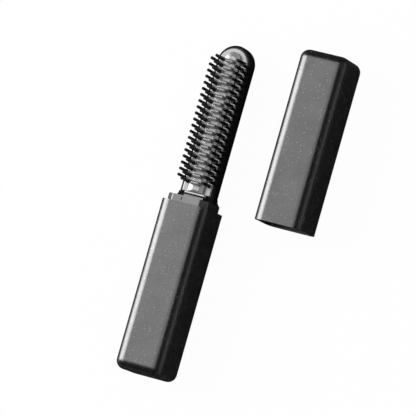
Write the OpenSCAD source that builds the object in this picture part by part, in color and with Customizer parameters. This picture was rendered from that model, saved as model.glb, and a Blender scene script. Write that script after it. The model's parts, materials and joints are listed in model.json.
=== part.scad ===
// Cordless hot comb: a square handle with a heated comb head, and the matching cap that is
// pulled off and laid beside it. Every piece is drawn standing, with z along the comb, x to
// the right and -y to the front, and is then laid on its back.

/* [Body] */
// Width and depth of the square handle and cap
body_w = 30; // [29:0.5:36]
// Radius of the long edges
edge_r = 6.2; // [5.6:0.1:7.5]
// Radius round the closed ends
end_r = 5.1; // [3:0.1:5.4]

/* [Handle] */
// Length of the handle, from its base to the edge that the cap meets
handle_len = 99.5; // [90:0.1:120]
// Wall of the handle sleeve
sleeve_wall = 1.8; // [1.4:0.1:2.2]
// Thickness of the sleeve's closed base
base_wall = 2.6; // [2:0.1:3.4]

/* [Cap] */
// Length of the cap
cap_len = 100.5; // [90:0.1:120]
// Wall of the cap
cap_wall = 2.0; // [1.6:0.1:2.1]
// Thickness of the cap's closed end
cap_end = 3.4; // [2.6:0.1:4]
// Distance between the two axes, with the cap laid beside the handle
cap_aside = 57.2; // [40:0.1:90]
// How far the cap's mouth lies beyond the handle's top edge
cap_ahead = 1.3; // [0:0.1:20]

/* [Collar] */
// Step from the handle's face in to the collar's face
collar_inset = 2.3; // [2.2:0.1:3]
// Height of the collar above the handle's top edge
collar_rise = 4.1; // [3.5:0.1:6]
// Depth of the collar's skirt inside the sleeve
collar_skirt = 8; // [6:0.5:9]
// Clearance between the head's neck and the hollow in the collar
neck_gap = 0.1; // [0.05:0.01:0.2]
// Thickness of the deck that closes the collar
deck_t = 2; // [1.5:0.1:2.6]
// Size of the bevel across each of the collar's four corners
corner_cut = 3.9; // [2.4:0.1:4.4]
// Radius between a bevel and the collar's faces
corner_soft = 1.9; // [0.5:0.1:2.5]
// Height of the small key slot in each face
key_h = 2; // [1.5:0.1:2.6]
// Width of the key slot
key_w = 0.8; // [0.4:0.1:1]
// Depth of the key slot
key_depth = 0.5; // [0.4:0.1:0.8]
// Distance of the key slot from the middle of its face
key_off = 2.7; // [0:0.1:5]
// Width of the low ledge in front of the neck, and of the heat stop above it
ledge_w = 12; // [8:0.5:14]
// Height of the ledge above the collar
ledge_rise = 1.8; // [0.8:0.1:2.2]
// How far the ledge and the heat stop stand in front of the comb's axis
ledge_out = 3.2; // [1.5:0.1:5]

/* [Comb head] */
// Width of the head
head_w = 21.4; // [19.2:0.1:23.6]
// Reach of the head's tip above the handle's top edge
head_reach = 95.8; // [88:0.1:96]
// Depth of the head behind its rim
head_depth = 9; // [8.6:0.1:10]
// Distance from the comb's axis back to the rim
rim_back = 0.6; // [0.3:0.1:1]
// Wall of the head's rear shell
head_wall = 1; // [0.9:0.1:1.1]
// Radius of the rear shell's long back edges
back_r = 3; // [2:0.1:4]
// Radius of the rim's outer edge
rim_r = 1.2; // [0.6:0.1:1.3]
// Thickness of the frame that carries the guard bristles
frame_t = 2.4; // [2:0.1:3]
// Height of the heat plate's foot above the collar
foot_lift = 4; // [3.6:0.1:5]

/* [Heat plate] */
// Width of the rim on each side of the plate
rim_w = 1.9; // [1.8:0.05:2.1]
// How far the plate stands out of the rim
plate_proud = 1.6; // [1:0.1:2]
// Thickness of the plate's face
plate_t = 1.8; // [1.4:0.1:2.2]
// Wall round the hollow under the plate
plate_wall = 0.8; // [0.7:0.1:0.9]
// Radius of the plate's outer edge
plate_edge = 0.6; // [0.3:0.1:0.8]
// Height of the ridge along the plate
ridge_rise = 2.4; // [1.8:0.1:3.4]
// Width of the slope along each side of the ridge's top
ridge_slope = 2.7; // [1.5:0.1:3.5]
// Fall of that slope
ridge_drop = 0.8; // [0.4:0.1:1.2]
// Distance between the ridge and the holes of the bristles
ridge_gap = 0.7; // [0.5:0.1:1.2]
// Distance from the head's tip to the ridge's rounded end
ridge_margin = 4.4; // [3.6:0.1:5]
// Radius that the ridge's lower end falls away with
ridge_fall = 1.5; // [1:0.1:1.7]
// Height of the fins above the plate
fin_rise = 6.4; // [5.6:0.1:7.5]
// Distance from the side of the ridge to the end of a fin
fin_inset = 1.8; // [1:0.1:2.5]
// Thickness of a fin
fin_t = 2.26; // [1.6:0.02:2.6]
// Spacing of the fins along the comb
fin_pitch = 4.25; // [4:0.05:5]
// Place of the first fin above the middle of the head's round tip
fin_lead = 0.2; // [-0.5:0.1:1]
// Least distance from the plate's foot to the last fin
fin_tail = 4; // [3.6:0.1:8]

/* [Bristles] */
// Diameter of a bristle at its tip
bristle_d = 1.75; // [1.2:0.05:1.8]
// Diameter of an inner bristle at its root
root_d = 2.2; // [1.8:0.05:2.3]
// Height of the inner bristles above the plate
inner_rise = 10.5; // [8:0.1:11]
// Height of the guard bristles above the rim
guard_rise = 10.5; // [8:0.1:11]
// Spacing of the bristles along the comb
bristle_pitch = 3.63; // [3.2:0.01:4.5]
// Place of the first inner bristles above the middle of the head's round tip
bristle_lead = 1.1; // [0.5:0.1:1.6]
// Least distance from the plate's foot to the last bristle
bristle_tail = 4.6; // [4.4:0.1:9]
// Clearance round an inner bristle in its hole
bristle_gap = 0.1; // [0.05:0.01:0.15]

/* [Battery and boards] */
// Diameter of the battery cell
cell_d = 18.3; // [17.8:0.1:18.6]
// Room above the battery cell, for its contact, its tab and the wires
cell_head = 9.8; // [6:0.1:12]
// Thickness of the circuit boards
board_t = 1.2; // [0.8:0.1:1.6]
// Width of the main board
board_w = 19; // [17:0.5:19.4]
// Height of the tact switch on the board
switch_h = 2.6; // [2:0.1:2.9]
// Width of the tact switch
switch_w = 6; // [5:0.1:6.6]

/* [Power button] */
// Length of the power button
button_len = 14; // [10:0.2:16]
// Width of the power button
button_w = 6; // [5:0.1:8]
// How far the button stands out of the sleeve
button_proud = 0.3; // [0.1:0.05:0.5]
// Travel of the button
button_travel = 0.5; // [0.2:0.05:0.5]
// Distance from the handle's top edge down to the button's middle
button_drop = 35.8; // [34:0.2:42]
// Spacing of the three level lights
light_pitch = 4; // [3:0.1:4.2]
// Diameter of a level light
light_d = 1.4; // [1:0.1:1.8]

/* [Charging socket] */
// Width of the socket's metal shell
usb_w = 8.94; // [8.94:0.01:9.1]
// Thickness of the socket's metal shell
usb_t = 3.26; // [3.16:0.01:3.4]
// Distance from the handle's base to the socket's mouth
usb_back = 0.8; // [0.4:0.1:1.6]

/* [Clearances] */
// Slip clearance between a fixed inner piece and its housing
slip = 0.15; // [0.1:0.01:0.2]
// Clearance round the power button
button_gap = 0.3; // [0.25:0.01:0.4]
// Clearance round the switch's plunger
plunger_gap = 0.08; // [0.05:0.01:0.1]
// Clearance round the thread of a screw
thread_gap = 0.05; // [0.02:0.01:0.1]

/* [Hidden] */
$fn = 64;
small_fn = 24;     // sides of bristles, fins and small holes
cut = 1;           // how far a cutting shape runs past the surface it cuts

// Colours
charcoal = [0.22, 0.22, 0.23];
black_plastic = [0.06, 0.06, 0.065];
aluminium = [0.72, 0.72, 0.73];
board_green = [0.05, 0.28, 0.16];
nickel = [0.78, 0.77, 0.74];
white_plastic = [0.92, 0.92, 0.9];

// Levels along the comb, from the middle of the handle
handle_base = -handle_len/2;
handle_top = handle_len/2;
skirt_low = handle_top - collar_skirt;
deck_top = handle_top + collar_rise;
deck_low = deck_top - deck_t;
tip_mid = handle_top + head_reach - head_w/2;
foot_a = deck_top + foot_lift;
frame_bar = 1.5;                       // height of the frame below the plate
split_a = foot_a - frame_bar;

// Widths inside the handle
sleeve_in = body_w - 2*sleeve_wall;
chassis_w = sleeve_in - 2*slip;
collar_w = body_w - 2*collar_inset;
skirt_w = sleeve_in - 2*slip;
well_w = head_w + 2*neck_gap;          // the hollow under the deck
bevel_far = (collar_w - corner_cut)/sqrt(2);     // from the comb's axis to a bevel
bevel_wall = 1;
well_r = max(0.5, (well_w/sqrt(2) - bevel_far + bevel_wall)/(sqrt(2) - 1));

// Levels in front of the comb's axis (negative is behind it)
rim_n = -rim_back;
back_n = rim_n - head_depth;
frame_n = rim_n - frame_t;             // where the frame meets the rear shell
plate_n = rim_n + plate_proud;
under_n = plate_n - plate_t;           // under the plate's face
lip_t = 1;                             // thickness of the lip that the frame holds
lip_n = frame_n - lip_t;
inner_back_n = back_n + head_wall;

// Battery cell and boards, from the right-hand wall inwards
cell_gap = 0.2;
cell_web = 0.7;
bore_r = cell_d/2 + cell_gap;
cell_x = chassis_w/2 - cell_web - bore_r;
bay_x = cell_x - bore_r - cell_web;    // floor of the bay that holds the main board
bay_w = board_w + 2*slip;
board_x = bay_x - board_t;             // the board's component side
chassis_low = handle_base + base_wall + slip;
chassis_top = skirt_low - slip;
tab_t = 0.2;
tab_w = 4;
usb_room = 11.2;                       // height of the bay for the charging socket
shelf_t = 2.4;
shelf_low = chassis_low + usb_room;
shelf_top = shelf_low + shelf_t;
cell_low = shelf_top + tab_t;
cell_top = chassis_top - cell_head;
cell_len = cell_top - cell_low;
ring_t = 0.3;
cell_cap_r = 3.6;
cell_cap_h = 1.1;
board_low = shelf_low - board_t - 1;
board_top = chassis_top - 2.4;
socket_w = 18;                         // width of the bay for the charging board
usb_wall = 0.3;
usb_floor = 1;                         // thickness of the socket's closed end
usb_top = shelf_low - board_t;
usb_mouth = handle_base + usb_back;
screw_y = board_w/2 - 2;
screw_z = [board_low + 9, board_top - 3.5];
screw_r = 0.8;
screw_len = 3.6;
screw_short = 0.3;                     // how far a screw ends above the bottom of its hole
screw_head_r = 2*screw_r;
screw_head_h = 1;
cross_len = 2.2*screw_r;               // cross recess in a screw's head
cross_w = 0.35;

// Chips and coil, as distances below the button's middle
chip_drop = [12, 20, 27];
chip_w = [5, 4, 3.3];
chip_h = 0.9;
coil_drop = 36;
coil_w = 6;
coil_h = 3;

// Power button, from the sleeve's left face inwards
button_z = handle_top - button_drop;
flange_t = 0.8;
flange_lip = 1.3;
flange_x = -sleeve_in/2 + button_gap;          // outer face of the flange
stem_x = flange_x + flange_t;                  // inner face of the flange
switch_x = board_x - switch_h;
plunger_out = button_travel + button_gap;
plunger_x = switch_x - plunger_out;
plunger_r = 1.7;
plunger_len = 1.7;
stem_r = 1.5;
light_z = button_z + button_len/2 + 6;         // the lowest level light
light_gap = 0.1;
led_t = 0.7;
led_size = [1.6, 0.8];
guide_t = 1.2;
guide_x = -sleeve_in/2 + 0.6;                  // outer face of the guide's bar

// Heat plate, fins and bristles
plate_w = head_w - 2*rim_w;
lip_w = head_w - 2*head_wall - 0.2;
window_gap = 0.15;
bristle_r = bristle_d/2;
hole_r = root_d/2 + bristle_gap;
hole_edge = 0.2;                       // between a hole and the wall of the hollow
inner_x = plate_w/2 - plate_wall - hole_edge - hole_r;
guard_x = head_w/2 - rim_w/2;
ridge_half = inner_x - hole_r - ridge_gap;
fin_len = 2*(ridge_half - fin_inset);
ridge_mid = handle_top + head_reach - ridge_margin - ridge_half;
fin_first = tip_mid + fin_lead;
fin_count = floor((fin_first - foot_a - fin_tail)/fin_pitch) + 1;
fin_r = fin_t/2;
fin_sunk = ridge_rise/2;               // where a fin starts, inside the ridge
inner_first = tip_mid + bristle_lead;
inner_count = floor((inner_first - foot_a - bristle_tail)/bristle_pitch) + 1;
guard_first = inner_first - bristle_pitch/2;
guard_count = inner_count - 1;
bristle_round = 0.25;                  // radius of a bristle's tip edge
carrier_t = 1.6;
carrier_w = 2.6;
tile_side = 0.95;                      // between a tile and the bristles' strips
boss_r = 1.8;
boss_wall = 1.6;
boss_skin = 0.8;                       // wall round a boss's seat, and room round the boss
bore_h = 1.2;                          // depth that the screws' heads are sunk
screw_bite = 4.2;                      // length of a screw inside the plate's boss
boss_n = inner_back_n + boss_wall;     // where the plate's bosses meet the rear shell
boss_a = [foot_a + 3.2, tip_mid + 3.4];
tile_t = 2.4;
tile_w = 2*(inner_x - carrier_w/2 - tile_side);
tile_count = 3;
tile_gap = 0.5;
tile_low = boss_a[0] + boss_r + boss_skin;
tile_high = boss_a[1] - boss_r - boss_skin;
sheet_t = 0.3;
tile_n = under_n - tile_t;
sheet_n = tile_n - sheet_t;
spring_t = 0.4;
root_out = 0.4;                        // height of a bristle's straight root above the plate

// Sensor, fuse and wires in the head
wire_gap = 0.2;
sensor_r = 0.9;
sensor_at = [ridge_half, foot_a + 3, under_n - sensor_r];
fuse_r = 1.3;
fuse_at = [inner_x, foot_a + 7, under_n - carrier_t - fuse_r];
fuse_len = 9;
fuse_wire_r = 0.4;
fuse_wire_out = 2;
lead_r = 0.5;
thin_r = 0.25;
thin_off = 0.35;                       // half the spacing of the sensor's two wires
neck_mid = (skirt_low + deck_top)/2;
thin_y = thin_r + thin_off + wire_gap - lip_n;       // where they pass the plate's foot
lead_y = [thin_y + 1.2, thin_y + 2.5];
lead_side = boss_r + boss_skin + lead_r + wire_gap;  // from the middle, beside the boss

// Boot and heat stop, between the collar and the plate's foot
stop_t = 1;
stop_gap = 0.3;
stop_low = foot_a - stop_gap - stop_t;
boot_h = foot_lift - 0.5;
boot_skin = 0.35;
boot_fit = 0.02;
boot_spread = 1.9;
boot_curve = (pow(boot_h, 2) + pow(boot_spread, 2))/(2*boot_spread);   // radius of its flare

// ---------------------------------------------------------------- placing and shaping

// Lays a standing piece of the comb on its back, on the plane z = 0
module laid() {
    translate([0, 0, body_w/2]) rotate([-90, 0, 0]) children();
}

// The same for the cap, beside the comb
module laid_aside() {
    translate([cap_aside, cap_ahead, 0]) laid() children();
}

// Turns a drawing so that y runs along the comb and z to the front
module facing() {
    rotate([90, 0, 0]) children();
}

// Places copies at the four corners of a rectangle
module corners(w, d) {
    for (sx = [-1, 1], sy = [-1, 1]) translate([sx*w/2, sy*d/2, 0]) children();
}

// Rectangle with round corners
module soft_rect(w, d, r) {
    square([w - 2*r, d], center = true);
    square([w, d - 2*r], center = true);
    corners(w - 2*r, d - 2*r) circle(r);
}

// Square with bevelled corners, and a radius at both ends of each bevel
module bevelled_square(w, bevel, r) {
    h = w/2;
    mid = h - r;                             // middle of a radius, across its face
    low = h - bevel - r*(sqrt(2) - 1);       // and along the face
    step = r*sqrt(0.5);
    corner = [[h, low], [mid + step, low + step], [low + step, mid + step], [low, h]];
    polygon([for (turn = [0 : 90 : 270], p = corner)
        [p.x*cos(turn) - p.y*sin(turn), p.x*sin(turn) + p.y*cos(turn)]]);
    corners(2*mid, 2*low) circle(r);
    corners(2*low, 2*mid) circle(r);
}

// Side view of a column whose lower edges are rounded
module column_side(w, e, len) {
    translate([-w/2 + e, 0]) square([w - 2*e, len]);
    translate([-w/2, e]) square([w, len - e]);
    for (s = [-1, 1]) translate([s*(w/2 - e), e]) circle(e);
}

// Square column with round long edges and a rounded lower end, standing on z = 0
module column(w, r, e, len) {
    for (a = [0, 90])
        rotate([0, 0, a]) rotate([90, 0, 0])
            linear_extrude(w - 2*r, center = true) column_side(w, e, len);
    corners(w - 2*r, w - 2*r)
        rotate_extrude() intersection() {
            column_side(2*r, e, len);
            square([r, len]);
        }
}

// Plan of the head: straight sides and a round tip
module tongue(w, low) {
    translate([-w/2, low]) square([w, tip_mid - low]);
    translate([0, tip_mid]) circle(w/2);
}

// Sweeps a half section along the head's sides and round its tip
module swept(low) {
    translate([0, tip_mid, 0]) {
        rotate([90, 0, 0]) linear_extrude(tip_mid - low) {
            children();
            mirror([1, 0]) children();
        }
        rotate_extrude() children();
    }
}

// Half section with one rounded corner at its outer edge: rounded below (up = false) or above
module half_section(half, low, high, r, up = false) {
    y = up ? high - r : low + r;
    translate([0, low]) square([half - r, high - low]);
    translate([half - r, up ? low : y]) square([r, high - low - r]);
    translate([half - r, y]) intersection() {
        circle(r);
        translate([0, -r]) square([r, 2*r]);
    }
}

// Round column with a rounded top edge
module peg(r, h, edge) {
    rotate_extrude() intersection() {
        translate([edge - r, 0]) union() {
            square([2*(r - edge), h]);
            translate([-edge, 0]) square([2*r, h - edge]);
            for (s = [0, 1]) translate([2*s*(r - edge), h - edge]) circle(edge);
        }
        square([r, h]);
    }
}

// Slot-shaped outline, long in y
module slot_outline(len, w) {
    square([w, len - w], center = true);
    for (s = [-1, 1]) translate([0, s*(len - w)/2]) circle(w/2);
}

// Column of a slot's outline that points to the left, from x = high down to x = low
module side_slot(len, w, low, high) {
    translate([high, 0, 0]) rotate([0, -90, 0]) rotate([0, 0, 90])
        linear_extrude(high - low) slot_outline(len, w);
}

// Round rod that points to the left, from x = high down to x = low
module side_rod(r, low, high) {
    translate([high, 0, 0]) rotate([0, -90, 0]) cylinder(r = r, h = high - low);
}

// Wire that starts along z: each move is a straight length, then a turn of the wire about
// itself, after which it bends by a right angle into the next move
module route(r, bend, moves, i = 0) {
    cylinder(r = r, h = moves[i][0]);
    if (i < len(moves) - 1)
        translate([0, 0, moves[i][0]]) rotate([0, 0, moves[i][1]]) translate([bend, 0, 0]) {
            rotate([90, 0, 0]) rotate([0, 0, 90]) rotate_extrude(angle = 90)
                translate([bend, 0]) circle(r);
            translate([0, 0, bend]) rotate([0, 90, 0]) route(r, bend, moves, i + 1);
        }
}

// ---------------------------------------------------------------- handle

// One-piece sleeve, closed at the base
module handle_sleeve() {
    color(charcoal) laid() difference() {
        translate([0, 0, handle_base]) column(body_w, edge_r, end_r, handle_len);
        translate([0, 0, handle_base + base_wall])
            column(sleeve_in, edge_r - sleeve_wall, end_r - sleeve_wall,
                   handle_len - base_wall + cut);
        translate([0, 0, button_z])
            side_slot(button_len, button_w, -body_w/2 - cut, -sleeve_in/2 + cut);
        for (i = [0 : 2]) translate([0, 0, light_z + i*light_pitch])
            side_rod(light_d/2 + light_gap, -body_w/2 - cut, -sleeve_in/2 + cut);
        translate([0, 0, handle_base - cut]) rotate([0, 0, 90])
            linear_extrude(base_wall + 2*cut)
                slot_outline(usb_w + 4*slip, usb_t + 4*slip);
    }
}

// Carrier of the cell and the boards, which slides into the sleeve
module inner_chassis() {
    color(black_plastic) laid() difference() {
        translate([0, 0, chassis_low])
            column(chassis_w, edge_r - sleeve_wall - slip, end_r - sleeve_wall,
                   chassis_top - chassis_low);
        translate([cell_x, 0, shelf_top])
            cylinder(r = bore_r, h = chassis_top - shelf_top + cut);
        translate([-chassis_w/2 - cut, -bay_w/2, board_low - slip])
            cube([chassis_w/2 + cut + bay_x, bay_w, chassis_top - board_low + slip + cut]);
        translate([bay_x - cut, -socket_w/2, chassis_low - cut])
            cube([socket_w/2 - bay_x + cut, socket_w, usb_room + cut]);
        tab_space(shelf_top, shelf_t/4);
        tab_space(cell_top, chassis_top - cell_top + cut);
        for (i = [0, 1]) board_screw_place(i)
            side_rod(screw_r + thread_gap, 0, screw_len);
    }
}

// Way for a battery tab through the web beside the cell
module tab_space(z, h) {
    translate([bay_x - cut, -tab_w/2 - slip, z]) cube([cell_x - bay_x + cut, tab_w + 2*slip, h]);
}

// Places a part where board screw i enters the chassis, with x = 0 at the bay's floor
module board_screw_place(i) {
    translate([bay_x, (i == 0 ? 1 : -1)*screw_y, screw_z[i]]) children();
}

// Key slot in the collar's front face, at a distance x from its middle
module key_slot(x) {
    translate([x - key_w/2, -collar_w/2 - cut, handle_top + (collar_rise - key_h)/2])
        cube([key_w, key_depth + cut, key_h]);
}

// Low ledge on the deck, in front of the neck
module ledge() {
    translate([-ledge_w/2, -ledge_out, deck_low])
        cube([ledge_w, ledge_out - rim_n - slip, deck_t + ledge_rise]);
}

// Outline of the head's neck where it passes the collar's deck
module neck_outline(gap) {
    r = back_r + gap;
    half = head_w/2 + gap;
    front = -rim_n - gap;
    back = -back_n + gap;
    translate([-half, front]) square([2*half, back - front - r]);
    translate([-half + r, front]) square([2*half - 2*r, back - front]);
    for (s = [-1, 1]) translate([s*(half - r), back - r]) circle(r);
}

// Collar that closes the sleeve and that the cap seats on
module snap_collar() {
    color(charcoal) laid() difference() {
        union() {
            translate([0, 0, skirt_low]) linear_extrude(collar_skirt)
                soft_rect(skirt_w, skirt_w, edge_r - sleeve_wall - slip);
            translate([0, 0, handle_top - deck_t]) linear_extrude(collar_rise + deck_t)
                bevelled_square(collar_w, corner_cut, corner_soft);
            ledge();
        }
        translate([0, 0, skirt_low - cut]) linear_extrude(deck_low - skirt_low + cut)
            soft_rect(well_w, well_w, well_r);
        translate([0, 0, deck_low - cut]) linear_extrude(deck_t + 2*cut)
            neck_outline(slip);
        for (turn = [0, 180]) rotate([0, 0, turn]) {
            key_slot(-key_off);
            rotate([0, 0, 90]) key_slot(key_off);
        }
    }
}

// Round battery cell with the crimp groove under its top
module battery_cell() {
    groove_r = 0.5;
    color("royalblue") laid() translate([cell_x, 0, cell_low]) difference() {
        peg(cell_d/2, cell_len, 0.8);
        translate([0, 0, cell_len - 3]) rotate_extrude() translate([cell_d/2, 0]) circle(groove_r);
    }
}

// Insulating ring on the cell's top
module battery_ring() {
    color(white_plastic) laid() translate([cell_x, 0, cell_top]) difference() {
        cylinder(r = cell_d/2 - 1, h = ring_t);
        translate([0, 0, -cut]) cylinder(r = cell_cap_r + slip, h = ring_t + 2*cut);
    }
}

// Raised positive contact of the cell
module battery_cap() {
    color(nickel) laid() translate([cell_x, 0, cell_top]) peg(cell_cap_r, cell_cap_h, 0.4);
}

// Nickel strips that join the cell's two ends to the main board
module battery_tabs() {
    reach = cell_x + cell_cap_r - bay_x;
    color(nickel) laid() {
        translate([bay_x, -tab_w/2, shelf_top]) cube([reach, tab_w, tab_t]);
        translate([bay_x, -tab_w/2, cell_top + cell_cap_h]) cube([reach, tab_w, tab_t]);
    }
}

// Main board, flat against the bay's floor
module main_board() {
    color(board_green) laid() difference() {
        translate([board_x, -board_w/2, board_low])
            cube([board_t, board_w, board_top - board_low]);
        for (i = [0, 1]) board_screw_place(i)
            side_rod(screw_r + slip, -board_t - cut, cut);
    }
}

// Places a component on the main board, with x = 0 at its left-hand face
module on_board(y, z) {
    translate([board_x, y, z]) children();
}

// Control, charging and power chips
module board_chips() {
    color(black_plastic) laid() {
        on_board(0, button_z - chip_drop[0]) chip(chip_w[0], chip_h);
        on_board(-board_w/4, button_z - chip_drop[1]) chip(chip_w[1], chip_h);
        for (s = [-1, 1]) on_board(s*board_w/4, button_z - chip_drop[2]) chip(chip_w[2], chip_h);
    }
}

// Square chip with a bevelled top
module chip(w, h) {
    translate([-h/2, -w/2, -w/2]) cube([h/2, w, w]);
    translate([-h, -w/2 + h/6, -w/2 + h/6]) cube([h/2, w - h/3, w - h/3]);
}

// Coil of the step-up supply: a square base, its winding and the drum's rim
module boost_coil() {
    base_h = coil_h/3;
    rim_h = coil_h/5;
    r = coil_w/2;
    color([0.25, 0.25, 0.27]) laid() on_board(-board_w/5, button_z - coil_drop) {
        translate([-base_h, -r, -r]) cube([base_h, coil_w, coil_w]);
        side_rod(r - 0.4, rim_h - coil_h, -base_h);
        side_rod(r, -coil_h, rim_h - coil_h);
    }
}

// Screws that hold the main board to the chassis
module board_screws() {
    color("silver") laid() for (i = [0, 1]) board_screw_place(i) {
        side_rod(screw_r, -board_t, screw_len - screw_short);
        difference() {
            side_rod(screw_head_r, -board_t - screw_head_h, -board_t);
            translate([-board_t - screw_head_h, 0, 0]) {
                cube([screw_head_h, cross_len, cross_w], center = true);
                cube([screw_head_h, cross_w, cross_len], center = true);
            }
        }
    }
}

// Light chips behind the level lights
module indicator_leds() {
    color("white") laid() for (i = [0 : 2]) on_board(0, light_z + i*light_pitch)
        translate([-led_t/2, 0, 0]) cube([led_t, led_size.x, led_size.y], center = true);
}

// Clear guide that brings the three lights to the sleeve's face
module light_guide() {
    span = 2*light_pitch;
    color([0.9, 0.92, 0.95, 0.6]) laid() {
        translate([guide_x, -light_d/2, light_z - light_d/2])
            cube([guide_t, light_d, span + light_d]);
        for (i = [0 : 2]) translate([0, 0, light_z + i*light_pitch]) {
            side_rod(light_d/2, -body_w/2, guide_x);
            side_rod(light_d/2, guide_x + guide_t, board_x - led_t - slip);
        }
    }
}

// Tact switch under the power button
module power_switch() {
    well = plunger_len - plunger_out + button_travel + button_gap;
    color(black_plastic) laid() translate([0, 0, button_z]) difference() {
        translate([switch_x, -switch_w/2, -switch_w/2]) cube([switch_h, switch_w, switch_w]);
        side_rod(plunger_r + plunger_gap, switch_x - cut, switch_x + well);
    }
}

// Plunger of the tact switch, which moves with the button
module switch_plunger() {
    color("dimgray") laid() translate([0, 0, button_z])
        side_rod(plunger_r, plunger_x, plunger_x + plunger_len);
}

// Power button: the face, its flange inside the sleeve and the stem to the switch
module power_button() {
    face_edge = 0.25;
    face_x = -body_w/2 - button_proud;
    len = button_len - 2*button_gap;
    w = button_w - 2*button_gap;
    color(black_plastic) laid() translate([0, 0, button_z]) {
        side_slot(len - 2*face_edge, w - 2*face_edge, face_x, face_x + face_edge);
        side_slot(len, w, face_x + face_edge, flange_x);
        side_slot(len + 2*flange_lip, w + 2*flange_lip, flange_x, stem_x);
        side_rod(stem_r, stem_x, plunger_x);
    }
}

// ---------------------------------------------------------------- charging socket

// Small cross board that carries the charging socket
module charge_board() {
    color(board_green) laid()
        translate([bay_x, -socket_w/2 + slip, shelf_low - board_t])
            cube([socket_w/2 - slip - bay_x, socket_w - 2*slip, board_t]);
}

// Metal shell of the socket, open at the handle's base
module usb_shell() {
    color("silver") laid() translate([0, 0, usb_mouth]) rotate([0, 0, 90]) difference() {
        linear_extrude(usb_top - usb_mouth) slot_outline(usb_w, usb_t);
        translate([0, 0, -cut]) linear_extrude(usb_top - usb_mouth - usb_floor + cut)
            slot_outline(usb_w - 2*usb_wall, usb_t - 2*usb_wall);
    }
}

// Contact tongue inside the socket
module usb_tongue() {
    tongue_w = 6.7;
    tongue_t = 0.7;
    tongue_back = 0.8;
    low = usb_mouth + tongue_back;
    color(black_plastic) laid()
        translate([-tongue_w/2, -tongue_t/2, low])
            cube([tongue_w, tongue_t, usb_top - usb_floor - low]);
}

// ---------------------------------------------------------------- comb head

// Rear shell of the head, with its neck and the flange that the collar holds down
module head_shell() {
    tail_gap = slip;
    flange = 1.6;
    flange_front = 8;
    inner_r = back_r - head_wall;
    color(black_plastic) laid() facing() difference() {
        union() {
            swept(skirt_low) half_section(head_w/2, back_n, frame_n, back_r);
            translate([-head_w/2, skirt_low, frame_n - cut])
                cube([head_w, split_a - skirt_low, rim_n - frame_n + cut]);
            translate([0, deck_low - slip, 0]) rotate([90, 0, 0]) linear_extrude(flange)
                intersection() {
                    soft_rect(head_w - 2*slip, head_w - 2*slip, well_r + neck_gap);
                    translate([-head_w/2, rim_n - cut])
                        square([head_w, flange_front - rim_n + cut]);
                }
        }
        swept(skirt_low - cut)
            half_section(head_w/2 - head_wall, inner_back_n, frame_n + cut, inner_r);
        translate([-head_w/2 + head_wall, skirt_low - cut, frame_n])
            cube([head_w - 2*head_wall, split_a - skirt_low - tail_gap, rim_n - frame_n - head_wall]);
        screw_ways();
    }
    color(black_plastic) laid() facing() difference() {
        for (a = boss_a) translate([0, a, inner_back_n - head_wall/2])
            cylinder(r = boss_r + boss_skin, h = boss_wall + head_wall/2);
        screw_ways();
    }
}

// Holes for the head's two screws, with counterbores in the back
module screw_ways() {
    for (a = boss_a) translate([0, a, back_n - cut]) {
        cylinder(r = screw_r + slip, h = head_depth);
        cylinder(r = screw_head_r + slip, h = bore_h + cut);
    }
}

// Guard bristles of one side, on the rim
module guard_row(side) {
    for (i = [0 : guard_count - 1])
        translate([side*guard_x, guard_first - i*bristle_pitch, frame_n + frame_t/2])
            peg(bristle_r, rim_n + guard_rise - frame_n - frame_t/2, bristle_round,
                $fn = small_fn);
}

// Front frame round the heat plate, with its two rows of guard bristles
module bristle_frame() {
    color(black_plastic) laid() facing() {
        difference() {
            swept(split_a) half_section(head_w/2, frame_n, rim_n, rim_r, up = true);
            translate([0, 0, frame_n - cut]) linear_extrude(frame_t + 2*cut)
                tongue(plate_w + 2*window_gap, foot_a - window_gap);
        }
        for (side = [-1, 1]) guard_row(side);
    }
}

// One inner bristle: a root that fills its hole in the plate, and a taper to the tip
module inner_bristle() {
    root_h = plate_t + root_out;
    h = plate_t + inner_rise;
    edge = bristle_round;
    translate([0, 0, -carrier_t/2]) cylinder(d = root_d, h = carrier_t/2 + root_h);
    translate([0, 0, root_h]) cylinder(d1 = root_d, d2 = bristle_d, h = h - root_h - 2*edge);
    translate([0, 0, h - 2*edge]) peg(bristle_r, 2*edge, edge);
}

// Strip under the plate with the inner bristles of one side
module inner_bristles(side) {
    low = inner_first - (inner_count - 1)*bristle_pitch;
    over = carrier_w/2;
    color(black_plastic) laid() facing() {
        translate([0, 0, under_n - carrier_t]) linear_extrude(carrier_t) intersection() {
            translate([side*inner_x - carrier_w/2, low - over])
                square([carrier_w, inner_first - low + 2*over]);
            tongue(plate_w - 2*plate_wall - 2*slip, low - over);
        }
        for (i = [0 : inner_count - 1])
            translate([side*inner_x, inner_first - i*bristle_pitch, under_n])
                inner_bristle($fn = small_fn);
    }
}

module inner_bristles_left() { inner_bristles(-1); }

module inner_bristles_right() { inner_bristles(1); }

// One cross fin of the heat plate, rising out of the ridge to a round crest with round ends
module fin() {
    h = fin_rise - fin_r;
    side = fin_len/2 - fin_r;
    translate([0, 0, fin_sunk]) linear_extrude(h - fin_sunk) rotate([0, 0, 90])
        slot_outline(fin_len, fin_t);
    translate([0, 0, h]) rotate([90, 0, 90]) rotate_extrude(angle = 180)
        intersection() {
            for (s = [-1, 1]) translate([0, s*side]) circle(fin_r);
            translate([0, -fin_len]) square([fin_len, 2*fin_len]);
        }
    translate([0, 0, h]) rotate([90, 0, 90]) rotate_extrude(angle = 180)
        translate([0, -side]) square([fin_r, 2*side]);
}

// Side view of the ridge: its lower end falls away with a radius
module ridge_side() {
    translate([foot_a + ridge_fall, 0]) square([ridge_mid - foot_a, ridge_rise]);
    translate([foot_a, 0]) square([ridge_fall + cut, ridge_rise - ridge_fall]);
    translate([foot_a + ridge_fall, ridge_rise - ridge_fall]) circle(ridge_fall);
}

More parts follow.
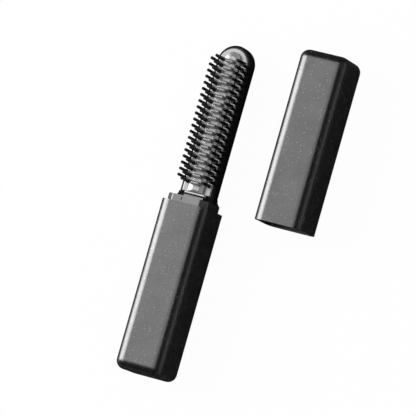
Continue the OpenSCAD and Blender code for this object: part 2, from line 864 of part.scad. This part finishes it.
// Half of the ridge's section: a flat top that slopes off to an upright side
module ridge_section() {
    polygon([[0, 0], [ridge_half, 0], [ridge_half, ridge_rise - ridge_drop],
             [ridge_half - ridge_slope, ridge_rise], [0, ridge_rise]]);
}

// Ridge, round in plan at the tip
module ridge() {
    translate([0, ridge_mid, 0]) rotate_extrude() ridge_section();
    intersection() {
        translate([0, ridge_mid, 0]) rotate([90, 0, 0]) linear_extrude(ridge_mid - foot_a) {
            ridge_section();
            mirror([1, 0]) ridge_section();
        }
        rotate([90, 0, 90]) linear_extrude(2*ridge_half, center = true) ridge_side();
    }
}

// Cast heat plate: face, lip, ridge, fins and the bosses under it
module heat_plate() {
    color(aluminium) laid() facing() {
        difference() {
            union() {
                swept(foot_a) half_section(plate_w/2, lip_n, plate_n, plate_edge, up = true);
                translate([0, 0, lip_n]) linear_extrude(lip_t) tongue(lip_w, foot_a + slip);
            }
            translate([0, 0, lip_n - cut]) linear_extrude(under_n - lip_n + cut)
                tongue(plate_w - 2*plate_wall, foot_a + plate_wall);
            for (side = [-1, 1], i = [0 : inner_count - 1])
                translate([side*inner_x, inner_first - i*bristle_pitch, under_n - cut])
                    cylinder(r = hole_r, h = plate_t + 2*cut, $fn = small_fn);
        }
        translate([0, 0, plate_n]) {
            ridge();
            for (i = [0 : fin_count - 1]) translate([0, fin_first - i*fin_pitch, 0]) fin($fn = small_fn);
        }
        for (a = boss_a) translate([0, a, boss_n]) difference() {
            cylinder(r = boss_r, h = under_n - boss_n + plate_t/2);
            translate([0, 0, -cut])
                cylinder(r = screw_r + thread_gap, h = screw_bite + screw_short + cut);
        }
    }
}

// Ceramic heater tiles under the plate
module heater_tiles() {
    pitch = (tile_high - tile_low + tile_gap)/tile_count;
    color("khaki") laid() facing() for (i = [0 : tile_count - 1])
        translate([-tile_w/2, tile_low + i*pitch, tile_n])
            cube([tile_w, pitch - tile_gap, tile_t]);
}

// Insulating sheet behind the tiles
module insulation_sheet() {
    color("goldenrod") laid() facing()
        translate([-tile_w/2, tile_low, sheet_n]) cube([tile_w, tile_high - tile_low, sheet_t]);
}

// Wave spring that presses the tiles to the plate
module heater_clamp() {
    waves = 3;
    half = (tile_high - tile_low)/(2*waves);
    top = sheet_n - spring_t;
    low = inner_back_n;
    path = [for (i = [0 : 2*waves]) [tile_low + i*half, i % 2 == 0 ? low : top]];
    back = [for (i = [2*waves : -1 : 0]) path[i] + [0, spring_t]];
    color(nickel) laid() facing() rotate([90, 0, 90])
        linear_extrude(tile_w - 2, center = true) polygon(concat(path, back));
}

// Bead of the temperature sensor, against the plate
module thermistor() {
    color("black") laid() facing() translate(sensor_at) sphere(sensor_r);
}

// Thermal fuse beside the tiles, with its two wires
module thermal_fuse() {
    color("silver") laid() facing() translate(fuse_at) rotate([-90, 0, 0]) {
        cylinder(r = fuse_r, h = fuse_len);
        translate([0, 0, -fuse_wire_out])
            cylinder(r = fuse_wire_r, h = fuse_len + 2*fuse_wire_out);
    }
}

// Wire from the board's face, up to a level, across to place.x, up to place.z and forward to
// place.y, then up again by an end length
module lead(r, y, low, cross, place, end = 0, clear = 0) {
    bend = 2*r + 0.2;
    left = board_x - r - clear;
    ahead = y - place.y - bend;
    up = place.z - cross - 2*bend;
    moves = [[cross - bend - low, 0], [place.x - left - 2*bend, 180], [up, 90]];
    translate([left, y, low])
        route(r, bend, concat(moves, end > 0 ? [[ahead - bend, 180], [end, 0]] : [[ahead, 0]]));
}

// Supply wires from the main board to the heater tiles
module heater_leads() {
    end = 1.2;
    run = tile_low - end - 2*lead_r - 0.2;
    color("firebrick") laid() for (i = [0, 1])
        lead(lead_r, lead_y[i], board_top - 6, neck_mid,
             [(2*i - 1)*lead_side, tile_t/2 - under_n, run], end, $fn = small_fn);
}

// Thin wires of the temperature sensor, side by side
module sensor_leads() {
    color("ivory") laid() for (s = [-1, 1]) translate([s*thin_off, s*thin_off, 0])
        lead(thin_r, thin_y, board_top - 4, neck_mid - 3,
             [sensor_at.x, sensor_r - sensor_at.z - s*thin_off, sensor_at.y],
             clear = thin_off, $fn = small_fn);
}

// Screws that clamp the plate, frame and rear shell together
module head_screws() {
    low = back_n + bore_h - screw_head_h;
    seat = low + screw_head_h;
    color("silver") laid() facing() for (a = boss_a) translate([0, a, 0]) {
        translate([0, 0, seat]) cylinder(r = screw_r, h = boss_n + screw_bite - seat);
        difference() {
            translate([0, 0, low]) cylinder(r = screw_head_r, h = screw_head_h);
            translate([0, 0, low]) cube([cross_len, cross_w, screw_head_h], center = true);
            translate([0, 0, low]) cube([cross_w, cross_len, screw_head_h], center = true);
        }
    }
}

// Half of the boot's hollow flare, out to a half-width at its top
module flare(half) {
    difference() {
        square([half + boot_spread, boot_h]);
        translate([half + boot_curve, boot_h]) circle(boot_curve);
    }
}

// Flared wall of the boot along two opposite sides, with its two halves side by side
module flare_wall(half, len) {
    rotate([90, 0, 0]) linear_extrude(len, center = true) {
        flare(half);
        mirror([1, 0]) flare(half);
    }
}

// Soft boot that flares from the head's neck on to the collar
module neck_boot() {
    side_r = back_r + boot_skin;
    front_r = 1;
    half = head_w/2 + boot_skin;
    front = -rim_n - boot_skin;
    back = -back_n + boot_skin;
    color(black_plastic) laid() difference() {
        translate([0, 0, deck_top]) {
            translate([0, (front + front_r + back - side_r)/2, 0])
                flare_wall(half, back - side_r - front - front_r);
            translate([0, back - side_r, 0]) rotate([0, 0, 90])
                flare_wall(side_r, 2*(half - side_r));
            translate([0, front + front_r, 0]) rotate([0, 0, 90])
                flare_wall(front_r, 2*(half - front_r));
            for (s = [-1, 1]) {
                translate([s*(half - side_r), back - side_r, 0]) rotate_extrude() flare(side_r);
                translate([s*(half - front_r), front + front_r, 0]) rotate_extrude() flare(front_r);
            }
        }
        translate([0, 0, deck_top - cut]) linear_extrude(boot_h + 2*cut) neck_outline(boot_fit);
        translate([-ledge_w/2 - slip, -body_w/2, deck_top - cut])
            cube([ledge_w + 2*slip, body_w/2 - rim_n, boot_h + 2*cut]);
    }
}

// White heat stop between the plate's foot and the collar, with a rounded front edge
module heat_stop() {
    long = ledge_out - rim_n;
    color(white_plastic) laid() facing() rotate([90, 0, 90])
        linear_extrude(ledge_w, center = true) translate([stop_low, rim_n]) {
            square([stop_t, long - stop_t/2]);
            translate([stop_t/2, long - stop_t/2]) circle(stop_t/2);
        }
}

// ---------------------------------------------------------------- cap

// Cap, open at the end that meets the handle, with four key ribs in its mouth
module cap_shell() {
    in_w = body_w - 2*cap_wall;
    in_r = edge_r - cap_wall;
    rib_h = key_h - 2*slip;
    rib_w = key_w - slip;
    rib_out = (in_w - collar_w)/2 + key_depth - slip;
    color(charcoal) laid_aside() translate([0, 0, handle_top]) {
        difference() {
            translate([0, 0, cap_len]) mirror([0, 0, 1])
                column(body_w, edge_r, end_r, cap_len);
            translate([0, 0, cap_len - cap_end]) mirror([0, 0, 1])
                column(in_w, in_r, end_r - cap_wall, cap_len - cap_end + cut);
        }
        for (turn = [0, 180]) rotate([0, 0, turn])
            for (k = [0, 1]) rotate([0, 0, 90*k])
                translate([(2*k - 1)*key_off - rib_w/2, -in_w/2 - cap_wall/2,
                           (collar_rise - rib_h)/2])
                    cube([rib_w, rib_out + cap_wall/2, rib_h]);
    }
}

handle_sleeve();
inner_chassis();
snap_collar();
battery_cell();
battery_ring();
battery_cap();
battery_tabs();
main_board();
board_chips();
boost_coil();
board_screws();
indicator_leds();
light_guide();
power_switch();
switch_plunger();
power_button();
charge_board();
usb_shell();
usb_tongue();
head_shell();
bristle_frame();
inner_bristles_left();
inner_bristles_right();
heat_plate();
heater_tiles();
insulation_sheet();
heater_clamp();
thermistor();
thermal_fuse();
heater_leads();
sensor_leads();
head_screws();
neck_boot();
heat_stop();
cap_shell();
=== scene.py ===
"""Looks of the cordless hot comb: materials for every piece, the floor, the lights and the camera.

Lengths are in metres, angles in degrees. +Y runs along the comb towards its tip, +Z out of its face
and +X towards the cap.
"""

import json
from math import cos, radians, sin

import bpy
from mathutils import Matrix, Vector

# Camera: its direction and distance from the point that it looks at, and its lens
CAM_TARGET = Vector((0.0093, 0.0513, 0.015))
CAM_RIGHT = 21.92           # to the right of straight above
CAM_LOW = 4.2               # towards the handle's base
CAM_ROLL = 15.88            # turn of the picture
CAM_DIST = 2.4739
CAM_CLIP = (0.05, 30.0)
IMAGE_W = 416               # width of the picture in pixels
FOCAL_PX = 4362.5           # focal length in the same pixels
SENSOR = 36.0               # width in millimetres

# Soft box on an arc over the comb, facing it
KEY_CENTRE = (0.02, 0.25)   # x and y of the arc's centre on the floor
KEY_ANGLE = -57.0           # from straight up towards +X
KEY_DIST = 2.0
KEY_SIZE = (1.75, 1.0)      # across and along the comb
KEY_WATTS = 30.0
WORLD_FILL = 0.6            # strength of the world's soft light on the object

FLOOR_SIZE = 6.0
FLOOR_COLOUR = (0.9, 0.9, 0.9)
FLOOR_LIT = 0.03            # share of the white in view that takes light and shadow

# Dark cards, seen only in reflections. One lies on the floor. Three lean in over the comb from the right
# and from beyond its ends, and leave the white studio in view above and to the left.
CARD_HIGH = 2.3             # height of their top edges
CARD_LOW = 0.0004           # height of their feet, and of the card on the floor
CARD_REACH = 3.0            # from the frame's origin to their feet
CARD_RIGHT = 0.42           # x of the right-hand card's top edge
CARD_BASE = -0.35           # y of the top edge beyond the handle's base
CARD_TIP = 1.3              # y of the top edge beyond the comb's tip
CARD_LEFT = -0.3            # x where the card on the floor begins
CARD_FADE = (0.5, 1.5)      # heights between which a card's grey foot turns black
RIGHT_GREY = 0.42           # foot of the right-hand card
FLOOR_GREY = 0.04           # card on the floor

# Metallic paint, and the mica flecks in it
CLOUD_SHARE = 0.4           # share of the wide clouds in its tone; the rest is grain
PAINT_METAL = 0.95          # how metallic the paint is, and its flecks
FLECK_METAL = 0.2
FLECK_CELLS = 1100.0        # cells per metre, each with room for one fleck
FLECK_REACH = (0.13, 0.26)  # distance in cells out to which a fleck is full, and where it has faded out
FLECK_CHANCE = (0.35, 0.4)  # cells that draw less hold no fleck, and those that draw more a full one
FLECK_FALL = 3.0            # the higher, the fewer flecks are bright
FLECK_LEAST = 0.12          # strength of the faintest
FLECK_COLOUR = (0.62, 0.62, 0.63)

# Circuit board: a brick pattern, whose mortar makes the tracks
BRICK_SCALE = 260.0         # bricks of 1.9 by 1 mm
TRACK_WIDTH = 0.03          # in the pattern's own units

NOISE_MOST = (0.3, 0.7)     # most values of a noise lie between these
BLACK = (0.0, 0.0, 0.0)
WHITE = (1.0, 1.0, 1.0)


# ---------------------------------------------------------------- node helpers

# Sockets of a mix node for colours, by number, since others share their names
MIX_FACTOR, MIX_A, MIX_B = 0, 6, 7
MIX_RESULT = 2


class Nodes:
    """Builds the node tree of one material or world."""

    def __init__(self, owner):
        owner.use_nodes = True
        self.owner = owner
        self.tree = owner.node_tree
        self.tree.nodes.clear()
        self.place = self.add("ShaderNodeTexCoord").outputs["Object"]

    def add(self, kind, inputs=None, **settings):
        """Adds a node. Its inputs are given as values or as sockets to link from."""
        node = self.tree.nodes.new(kind)
        for key, value in settings.items():
            setattr(node, key, value)
        for key, value in (inputs or {}).items():
            self.put(node.inputs[key], value)
        return node

    def put(self, socket, value):
        """Gives an input a value, or links a socket to it."""
        if isinstance(value, bpy.types.NodeSocket):
            self.tree.links.new(value, socket)
        else:
            socket.default_value = value

    def math(self, operation, a, b, clamp=False):
        return self.add("ShaderNodeMath", {0: a, 1: b}, operation=operation, use_clamp=clamp).outputs[0]

    def noise(self, size, detail, roughness=0.5, stretch=None):
        """Noise whose features are about size metres across."""
        place = self.place
        if stretch:
            place = self.add("ShaderNodeMapping", {"Vector": place, "Scale": stretch}).outputs[0]
        inputs = {"Vector": place, "Scale": 1/size, "Detail": detail, "Roughness": roughness}
        return self.add("ShaderNodeTexNoise", inputs).outputs["Fac"]

    def span(self, value, low, high, to_low=0.0, to_high=1.0):
        """Maps values from low to high onto to_low to to_high, and holds them there beyond."""
        inputs = {"Value": value, "From Min": low, "From Max": high, "To Min": to_low, "To Max": to_high}
        return self.add("ShaderNodeMapRange", inputs).outputs[0]

    def vary(self, noise, middle, less, more):
        """A value that the noise takes from middle - less to middle + more."""
        return self.span(noise, *NOISE_MOST, middle - less, middle + more)

    def blend(self, factor, a, b):
        """Mixes two colours, each given as a tuple or as a socket."""
        first, second = (rgba(colour) if isinstance(colour, tuple) else colour for colour in (a, b))
        inputs = {MIX_FACTOR: factor, MIX_A: first, MIX_B: second}
        return self.add("ShaderNodeMix", inputs, data_type="RGBA").outputs[MIX_RESULT]

    def tint(self, factor, colour, low, high):
        """The colour times low to high, as the factor goes from 0 to 1."""
        return self.blend(factor, shade(colour, low), shade(colour, high))

    def bump(self, height, depth):
        """A relief as deep as given, in metres."""
        return self.add("ShaderNodeBump", {"Height": height, "Strength": 1.0, "Distance": depth}).outputs[0]

    def finish(self, shader, output="ShaderNodeOutputMaterial"):
        """Links the shader to the output, and gives back the material or world."""
        self.tree.links.new(shader.outputs[0], self.add(output).inputs[0])
        return self.owner

    def principled(self, **inputs):
        """Ends in a Principled shader. Its inputs are named with _ for each space."""
        named = {key.replace("_", " "): value for key, value in inputs.items()}
        return self.finish(self.add("ShaderNodeBsdfPrincipled", named))


def new_material(name):
    return Nodes(bpy.data.materials.new(name))


def rgba(colour):
    return (*colour, 1.0)


def shade(colour, factor):
    return tuple(channel*factor for channel in colour)


# ---------------------------------------------------------------- materials

def mica(n, strength):
    """How much of a pale fleck shows: about three cells in five hold one, and few are bright."""
    cells = n.add("ShaderNodeTexVoronoi", {"Vector": n.place, "Scale": FLECK_CELLS, "Randomness": 1.0})
    draw = n.add("ShaderNodeSeparateColor", {"Color": cells.outputs["Color"]})
    near = n.span(cells.outputs["Distance"], *FLECK_REACH, 1.0, 0.0)
    chosen = n.span(draw.outputs["Red"], *FLECK_CHANCE)
    shine = n.math("ADD", n.math("POWER", draw.outputs["Green"], FLECK_FALL), FLECK_LEAST, clamp=True)
    return n.math("MULTIPLY", n.math("MULTIPLY", near, chosen), n.math("MULTIPLY", shine, strength))


def metallic_paint(name, colour, rough, flecks):
    """Charcoal metallic paint with a fine orange peel. flecks is the strength of its pale mica flecks."""
    n = new_material(name)
    cloud = n.noise(size=0.012, detail=3.0)
    grain = n.noise(size=0.0006, detail=3.0, roughness=0.7)
    peel = n.noise(size=0.0016, detail=1.0)
    tone = n.math("ADD", n.math("MULTIPLY", cloud, CLOUD_SHARE), n.math("MULTIPLY", grain, 1 - CLOUD_SHARE))
    base = n.tint(n.span(tone, *NOISE_MOST), colour, 0.8, 1.2)
    fleck = mica(n, flecks)
    return n.principled(Base_Color=n.blend(fleck, base, FLECK_COLOUR),
                        Metallic=n.span(fleck, 0.0, 1.0, PAINT_METAL, FLECK_METAL),
                        Roughness=n.vary(grain, rough, less=0.02, more=0.02),
                        Normal=n.bump(peel, depth=0.000003))


def moulded_plastic(name, colour, rough=0.42, texture=0.00025):
    """Moulded plastic with a spark texture as fine as given."""
    n = new_material(name)
    grain = n.noise(size=texture, detail=3.0, roughness=0.6)
    tone = n.noise(size=0.009, detail=2.0)
    return n.principled(Base_Color=n.tint(tone, colour, 0.9, 1.1),
                        Roughness=n.vary(grain, rough, less=0.05, more=0.05),
                        Specular_IOR_Level=0.2, Normal=n.bump(grain, depth=0.000006))


def cast_metal(name, colour, rough):
    """Satin cast aluminium: a fine, partly dull cast skin with faint uneven polish."""
    n = new_material(name)
    skin = n.noise(size=0.00045, detail=4.0, roughness=0.6)
    polish = n.noise(size=0.004, detail=3.0)
    return n.principled(Base_Color=n.tint(polish, colour, 0.93, 1.07),
                        Metallic=0.6, Roughness=n.vary(polish, rough, less=0.05, more=0.05),
                        Normal=n.bump(skin, depth=0.000008))


def rolled_metal(name, colour, rough=0.25):
    """Rolled or plated metal with a faint grain along the comb."""
    n = new_material(name)
    grain = n.noise(size=0.0004, detail=3.0, roughness=0.6, stretch=(1, 0.08, 1))
    return n.principled(Base_Color=n.tint(grain, colour, 0.9, 1.0),
                        Metallic=1.0, Roughness=n.vary(grain, rough, less=0.06, more=0.08),
                        Normal=n.bump(grain, depth=0.000003))


def glazed(name, colour):
    """Glazed ceramic with a faint warm tone where the glaze is thick."""
    n = new_material(name)
    pool = n.noise(size=0.004, detail=2.0)
    ripple = n.noise(size=0.0015, detail=1.0)
    red, green, blue = colour
    return n.principled(Base_Color=n.blend(pool, colour, (red, green*0.97, blue*0.9)),
                        Roughness=n.vary(pool, 0.16, less=0.04, more=0.04),
                        Normal=n.bump(ripple, depth=0.000003))


def silicone(name, colour, rough=0.5):
    """Soft silicone with a dusty, slightly uneven skin."""
    n = new_material(name)
    dust = n.noise(size=0.003, detail=4.0, roughness=0.6)
    skin = n.noise(size=0.0003, detail=2.0)
    return n.principled(Base_Color=n.tint(dust, colour, 1.0, 1.3),
                        Roughness=n.vary(dust, rough, less=0.06, more=0.08),
                        Specular_IOR_Level=0.1, Normal=n.bump(skin, depth=0.000004))


def solder_mask(name, colour):
    """Circuit board: a coloured mask over a grid of paler tracks."""
    n = new_material(name)
    tracks = n.add("ShaderNodeTexBrick", {
        "Vector": n.place, "Scale": BRICK_SCALE, "Mortar Size": TRACK_WIDTH, "Color1": rgba(colour),
        "Color2": rgba(shade(colour, 0.8)), "Mortar": rgba(shade(colour, 1.9))})
    return n.principled(Base_Color=tracks.outputs["Color"], Roughness=0.32,
                        Normal=n.bump(tracks.outputs["Fac"], depth=0.00002))


def clear_plastic(name, colour):
    """Clear moulded plastic with a faint haze."""
    n = new_material(name)
    haze = n.noise(size=0.002, detail=2.0)
    return n.principled(Base_Color=rgba(colour), IOR=1.49, Transmission_Weight=0.9,
                        Roughness=n.vary(haze, 0.12, less=0.04, more=0.04))


def make_materials():
    """One material for each material slot of the record."""
    recipes = {
        "fleck_paint": (metallic_paint, dict(colour=(0.151, 0.151, 0.153), rough=0.29, flecks=1.0)),
        "collar_paint": (metallic_paint, dict(colour=(0.215, 0.215, 0.22), rough=0.45, flecks=0.0)),
        "black_plastic": (moulded_plastic, dict(colour=(0.005, 0.005, 0.0055), rough=0.36)),
        "button_plastic": (moulded_plastic, dict(colour=(0.014, 0.014, 0.015), rough=0.5)),
        "boot_rubber": (silicone, dict(colour=(0.006, 0.006, 0.007), rough=0.6)),
        "plate_metal": (cast_metal, dict(colour=(0.46, 0.46, 0.465), rough=0.35)),
        "white_ceramic": (glazed, dict(colour=(0.95, 0.94, 0.92))),
        "white_plastic": (moulded_plastic, dict(colour=(0.80, 0.80, 0.78))),
        "cell_wrap": (moulded_plastic, dict(colour=(0.03, 0.10, 0.38), rough=0.25, texture=0.002)),
        "nickel": (rolled_metal, dict(colour=(0.56, 0.54, 0.50))),
        "board_green": (solder_mask, dict(colour=(0.02, 0.14, 0.06))),
        "chip_black": (moulded_plastic, dict(colour=(0.02, 0.02, 0.02), rough=0.5)),
        "coil_grey": (moulded_plastic, dict(colour=(0.09, 0.09, 0.10), rough=0.6)),
        "screw_steel": (rolled_metal, dict(colour=(0.50, 0.50, 0.51))),
        "led_white": (moulded_plastic, dict(colour=(0.80, 0.78, 0.62), rough=0.3)),
        "clear_plastic": (clear_plastic, dict(colour=(0.85, 0.88, 0.90))),
        "ceramic_tile": (moulded_plastic, dict(colour=(0.50, 0.46, 0.34), rough=0.7, texture=0.0006)),
        "amber_film": (moulded_plastic, dict(colour=(0.45, 0.20, 0.03), rough=0.2, texture=0.003)),
        "spring_steel": (rolled_metal, dict(colour=(0.50, 0.50, 0.50), rough=0.2)),
        "bead_black": (moulded_plastic, dict(colour=(0.015, 0.015, 0.015), rough=0.15, texture=0.001)),
        "red_silicone": (silicone, dict(colour=(0.40, 0.03, 0.02))),
        "white_silicone": (silicone, dict(colour=(0.72, 0.70, 0.62))),
    }
    return {slot: make(slot, **values) for slot, (make, values) in recipes.items()}


def dress(frame):
    """Gives every CAD node the material of its slot in the record."""
    materials = make_materials()
    for part in frame["record"]["subparts"]:
        for holder in frame["nodes"][part["node"]].material_slots:
            holder.material = materials[part["material_slot"]]


# ---------------------------------------------------------------- floor and cards

def sheet(name, corners, material):
    """A flat stage piece with one face."""
    mesh = bpy.data.meshes.new(name)
    mesh.from_pydata(corners, [], [tuple(range(len(corners)))])
    mesh.materials.append(material)
    piece = bpy.data.objects.new(name, mesh)
    bpy.context.scene.collection.objects.link(piece)
    return piece


def background_share(n):
    """1 for the rays that see the background: the camera's, and those in gloss and glass."""
    path = n.add("ShaderNodeLightPath").outputs
    seen = n.math("ADD", path["Is Camera Ray"], path["Is Glossy Ray"], clamp=True)
    return n.math("ADD", seen, path["Is Transmission Ray"], clamp=True)


def make_floor():
    """White floor that keeps a soft shadow."""
    n = new_material("floor_white")
    lit = n.add("ShaderNodeBsdfDiffuse", {"Color": rgba(FLOOR_COLOUR)})
    glow = n.add("ShaderNodeEmission", {"Color": rgba(WHITE), "Strength": 1.0})
    share = n.math("MULTIPLY", background_share(n), 1 - FLOOR_LIT)
    white = n.finish(n.add("ShaderNodeMixShader", {0: share, 1: lit.outputs[0], 2: glow.outputs[0]}))
    half = FLOOR_SIZE/2
    sheet("floor", [(-half, -half, 0), (half, -half, 0), (half, half, 0), (-half, half, 0)], white)


def dark_card(name, corners, foot=0.0):
    """Black studio card, seen only in reflections. foot is the grey that it has near the floor."""
    n = new_material(name)
    height = n.add("ShaderNodeSeparateXYZ", {"Vector": n.place}).outputs["Z"]
    grey = n.blend(n.span(height, *CARD_FADE), shade(WHITE, foot), BLACK)
    cloth = n.finish(n.add("ShaderNodeBsdfDiffuse", {"Color": grey}))
    card = sheet(name, corners, cloth)
    card.visible_camera = False
    card.visible_diffuse = False
    card.visible_transmission = False
    card.visible_shadow = False


def make_cards():
    """Dark cards on the floor, to the right and beyond both ends, for the dark sides and ends."""
    reach, wide, high, low = CARD_REACH, 2*CARD_REACH, CARD_HIGH, CARD_LOW
    dark_card("card_floor", [(CARD_LEFT, -reach, low), (reach, -reach, low), (reach, reach, low),
                             (CARD_LEFT, reach, low)], FLOOR_GREY)
    dark_card("card_right", [(CARD_RIGHT, -wide, high), (CARD_RIGHT, wide, high), (reach, wide, low),
                             (reach, -wide, low)], RIGHT_GREY)
    for name, top, foot in (("card_base", CARD_BASE, -reach), ("card_tip", CARD_TIP, reach)):
        dark_card(name, [(-wide, top, high), (wide, top, high), (wide, foot, low), (-wide, foot, low)])


# ---------------------------------------------------------------- lights and camera

def make_key():
    """Soft box to the left, facing the comb."""
    data = bpy.data.lights.new("key", "AREA")
    data.shape = "RECTANGLE"
    data.size, data.size_y = KEY_SIZE
    data.energy = KEY_WATTS
    lamp = bpy.data.objects.new("key", data)
    angle = radians(KEY_ANGLE)
    centre_x, centre_y = KEY_CENTRE
    lamp.location = (centre_x + sin(angle)*KEY_DIST, centre_y, cos(angle)*KEY_DIST)
    lamp.rotation_euler = (0, angle, 0)
    bpy.context.scene.collection.objects.link(lamp)


def make_world():
    """White world behind the object and in its reflections, and a soft light on it."""
    n = Nodes(bpy.data.worlds.new("studio"))
    seen = n.add("ShaderNodeBackground", {"Color": rgba(WHITE), "Strength": 1.0})
    fill = n.add("ShaderNodeBackground", {"Color": rgba(WHITE), "Strength": WORLD_FILL})
    mix = n.add("ShaderNodeMixShader", {0: background_share(n), 1: fill.outputs[0], 2: seen.outputs[0]})
    bpy.context.scene.world = n.finish(mix, "ShaderNodeOutputWorld")


def make_camera():
    """Camera that sees its target from the chosen direction, turned about its own axis."""
    right, low, roll = radians(CAM_RIGHT), radians(CAM_LOW), radians(CAM_ROLL)
    away = Vector((sin(right)*cos(low), -sin(low), cos(right)*cos(low)))
    along = Vector((0, 1, 0))
    up = (along - away*along.dot(away)).normalized()
    side = up.cross(away)
    turned_up = up*cos(roll) - side*sin(roll)
    turned_side = side*cos(roll) + up*sin(roll)
    data = bpy.data.cameras.new("camera")
    data.sensor_width = SENSOR
    data.lens = SENSOR*FOCAL_PX/IMAGE_W
    data.clip_start, data.clip_end = CAM_CLIP
    camera = bpy.data.objects.new("camera", data)
    turn = Matrix((turned_side, turned_up, away)).transposed()
    camera.matrix_world = Matrix.Translation(CAM_TARGET + away*CAM_DIST) @ turn.to_4x4()
    bpy.context.scene.collection.objects.link(camera)
    bpy.context.scene.camera = camera


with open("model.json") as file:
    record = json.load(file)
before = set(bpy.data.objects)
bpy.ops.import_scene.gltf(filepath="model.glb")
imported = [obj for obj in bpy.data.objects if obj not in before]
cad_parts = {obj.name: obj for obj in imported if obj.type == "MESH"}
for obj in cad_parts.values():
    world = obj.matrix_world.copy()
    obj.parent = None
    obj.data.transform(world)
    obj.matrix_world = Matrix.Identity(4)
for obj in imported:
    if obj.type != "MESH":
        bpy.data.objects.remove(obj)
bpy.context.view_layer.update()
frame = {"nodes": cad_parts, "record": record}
dress(frame)
make_floor()
make_cards()
make_key()
make_world()
make_camera()
bpy.context.scene.view_settings.view_transform = "Standard"
